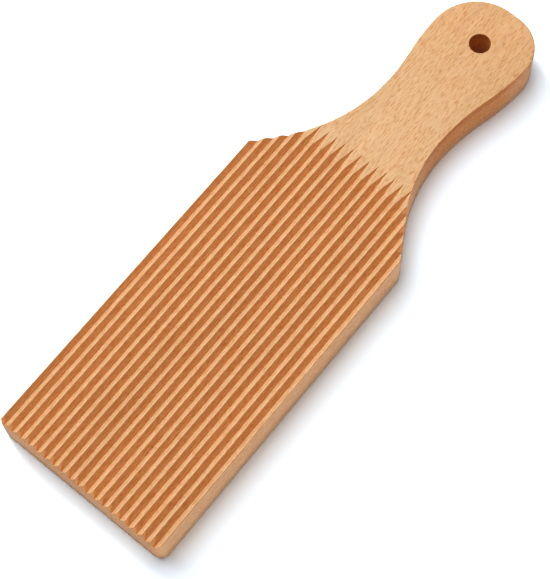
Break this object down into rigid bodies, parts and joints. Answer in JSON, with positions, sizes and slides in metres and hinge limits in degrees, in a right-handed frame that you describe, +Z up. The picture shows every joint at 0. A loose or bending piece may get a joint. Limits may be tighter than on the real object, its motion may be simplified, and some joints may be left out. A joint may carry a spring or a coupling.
{
  "type": "gnocchi board",
  "caption": "Wooden gnocchi board: a flat paddle blade with V-shaped ridges along both faces, and a waisted handle with a hanging hole.",
  "frame": {"origin": "on the underside, below the middle of the board's box: half way along its length and across its width", "axes": "+Y along the board from the plain front end to the handle, +Z up through the thickness, +X across the blade"},
  "size_m": [0.067, 0.2195, 0.016],
  "materials": {
    "beech": "sanded, unvarnished beech with a silky, almost matt surface"
  },
  "bodies": {
    "root": {"board": "beech"}
  },
  "joints": []
}
